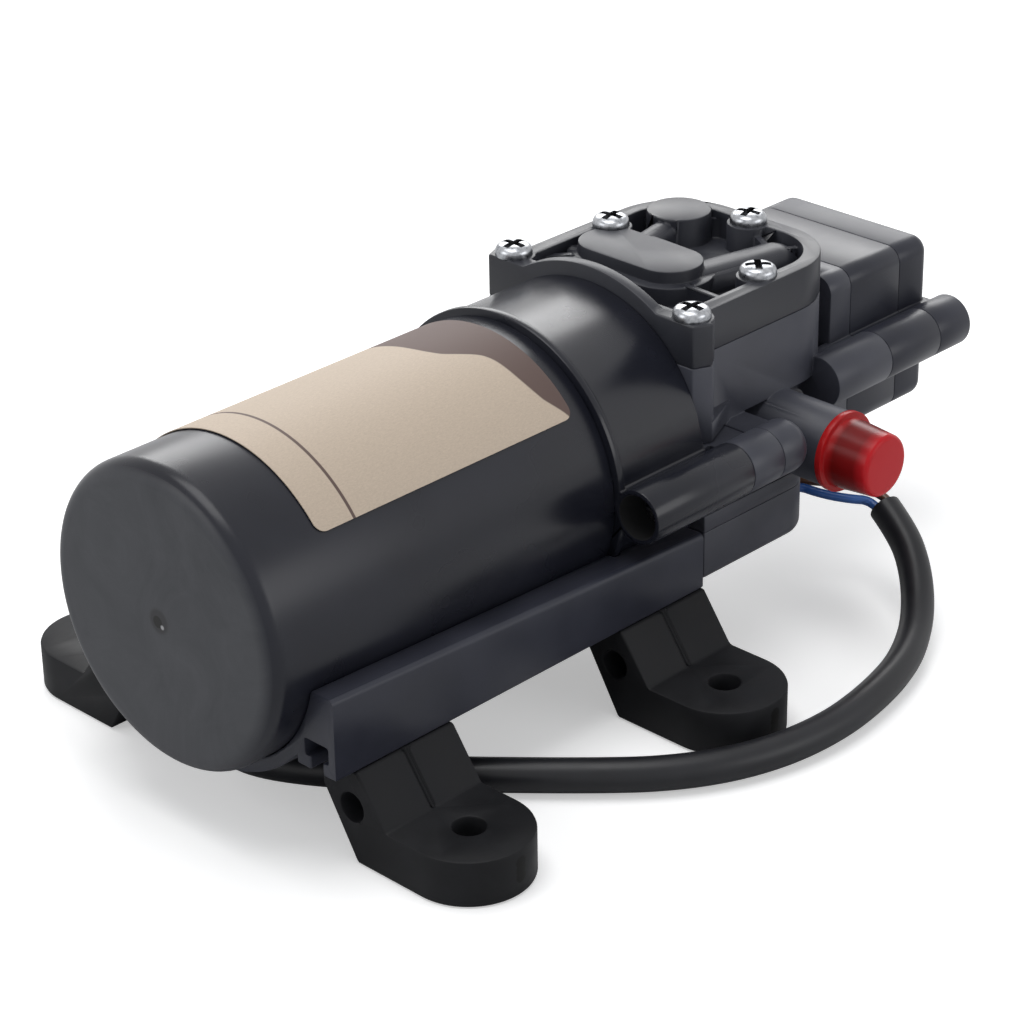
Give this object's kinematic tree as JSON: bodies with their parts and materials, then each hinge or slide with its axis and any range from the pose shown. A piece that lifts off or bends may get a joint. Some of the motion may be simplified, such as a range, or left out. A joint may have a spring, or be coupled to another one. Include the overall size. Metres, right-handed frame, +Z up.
{
  "type": "diaphragm water pump",
  "caption": "Small twelve volt diaphragm water pump with a covered motor, screwed pump head, pressure switch, capped hose tails, slotted cradle and sliding rubber feet.",
  "frame": {"origin": "on the mounting surface under the middle of the pump, without its cable", "axes": "+X along the motor axis from the closed end to the pressure switch, +Y to the left port, +Z up from the mounting surface"},
  "size_m": [0.1644, 0.1141, 0.0631],
  "materials": {
    "black_cover": "smooth black moulding with a faint sheen",
    "black_moulding": "satin black moulding",
    "grey_moulding": "matte dark grey moulding, glass filled",
    "paper": "matte tan printed paper",
    "steel": "drawn and turned steel",
    "zinc": "bright zinc plated steel",
    "ferrite": "dark grey ferrite",
    "copper": "enamelled copper",
    "bronze": "sintered bronze",
    "carbon": "carbon brush",
    "foot_rubber": "soft black rubber",
    "valve_rubber": "black valve rubber",
    "red_cap": "soft translucent red plastic",
    "blue_insulation": "blue wire insulation",
    "brown_insulation": "brown wire insulation",
    "sheath": "dark grey cable sheath",
    "natural_nylon": "natural coloured nylon"
  },
  "bodies": {
    "housing": {"motor_cover": "black_cover", "label": "paper", "motor_can": "steel", "field_magnets": "ferrite", "rear_bush": "bronze", "front_bearing": "steel", "brush_carrier": "natural_nylon", "brushes": "carbon", "brush_springs": "steel", "drive_bracket": "black_cover", "bearing_plate": "grey_moulding", "diaphragm": "valve_rubber", "valve_plate": "black_moulding", "inlet_valve": "valve_rubber", "outlet_valve": "valve_rubber", "cover_gasket": "valve_rubber", "head_cover": "grey_moulding", "cover_screws": "zinc", "pump_body": "grey_moulding", "body_screws": "zinc", "switch_diaphragm": "valve_rubber", "microswitch": "black_moulding", "switch_housing": "grey_moulding", "switch_cover": "grey_moulding", "switch_screws": "zinc", "wire_box": "black_moulding", "wire_box_lid": "black_moulding", "base_cradle": "black_cover", "base_screws": "zinc", "blue_core": "blue_insulation", "brown_core": "brown_insulation", "cable_sheath": "sheath"},
    "rotor": {"motor_shaft": "steel", "armature_core": "steel", "armature_windings": "copper", "commutator": "copper", "crank": "steel"},
    "rod": {"connecting_rod": "natural_nylon", "crank_bearing": "steel"},
    "left_port_cap": {"port_cap_left": "red_cap"},
    "right_port_cap": {"port_cap_right": "red_cap"},
    "front_left_foot": {"foot_front_left": "foot_rubber"},
    "front_right_foot": {"foot_front_right": "foot_rubber"},
    "rear_left_foot": {"foot_rear_left": "foot_rubber"},
    "rear_right_foot": {"foot_rear_right": "foot_rubber"},
    "pressure_plunger": {"switch_plunger": "natural_nylon", "switch_spring": "steel", "switch_button": "natural_nylon"}
  },
  "joints": [
    {"name": "rotor_spin", "type": "hinge", "parent": "housing", "child": "rotor", "pos_m": [-0.08225, 0, 0.0351], "axis": [1, 0, 0], "continuous": true},
    {"name": "rod_orbit", "type": "hinge", "parent": "rotor", "child": "rod", "pos_m": [0.02845, 0, 0.0364], "axis": [1, 0, 0], "continuous": true},
    {"name": "left_port_cap_pull", "type": "slide", "parent": "housing", "child": "left_port_cap", "axis": [0, 1, 0], "range_m": [0, 0.012]},
    {"name": "right_port_cap_pull", "type": "slide", "parent": "housing", "child": "right_port_cap", "axis": [0, -1, 0], "range_m": [0, 0.012]},
    {"name": "front_left_foot_slide", "type": "slide", "parent": "housing", "child": "front_left_foot", "axis": [1, 0, 0], "range_m": [-0.024, 0.016]},
    {"name": "front_right_foot_slide", "type": "slide", "parent": "housing", "child": "front_right_foot", "axis": [1, 0, 0], "range_m": [-0.024, 0.001]},
    {"name": "rear_left_foot_slide", "type": "slide", "parent": "housing", "child": "rear_left_foot", "axis": [1, 0, 0], "range_m": [-0.016, 0.004]},
    {"name": "rear_right_foot_slide", "type": "slide", "parent": "housing", "child": "rear_right_foot", "axis": [1, 0, 0], "range_m": [-0.005, 0.004]},
    {"name": "plunger_push", "type": "slide", "parent": "housing", "child": "pressure_plunger", "axis": [1, 0, 0], "range_m": [0, 0.0008], "stiffness_N_per_m": 800}
  ],
  "couplings": [
    {"joint": "rod_orbit", "follows": "rotor_spin", "ratio": -1}
  ]
}
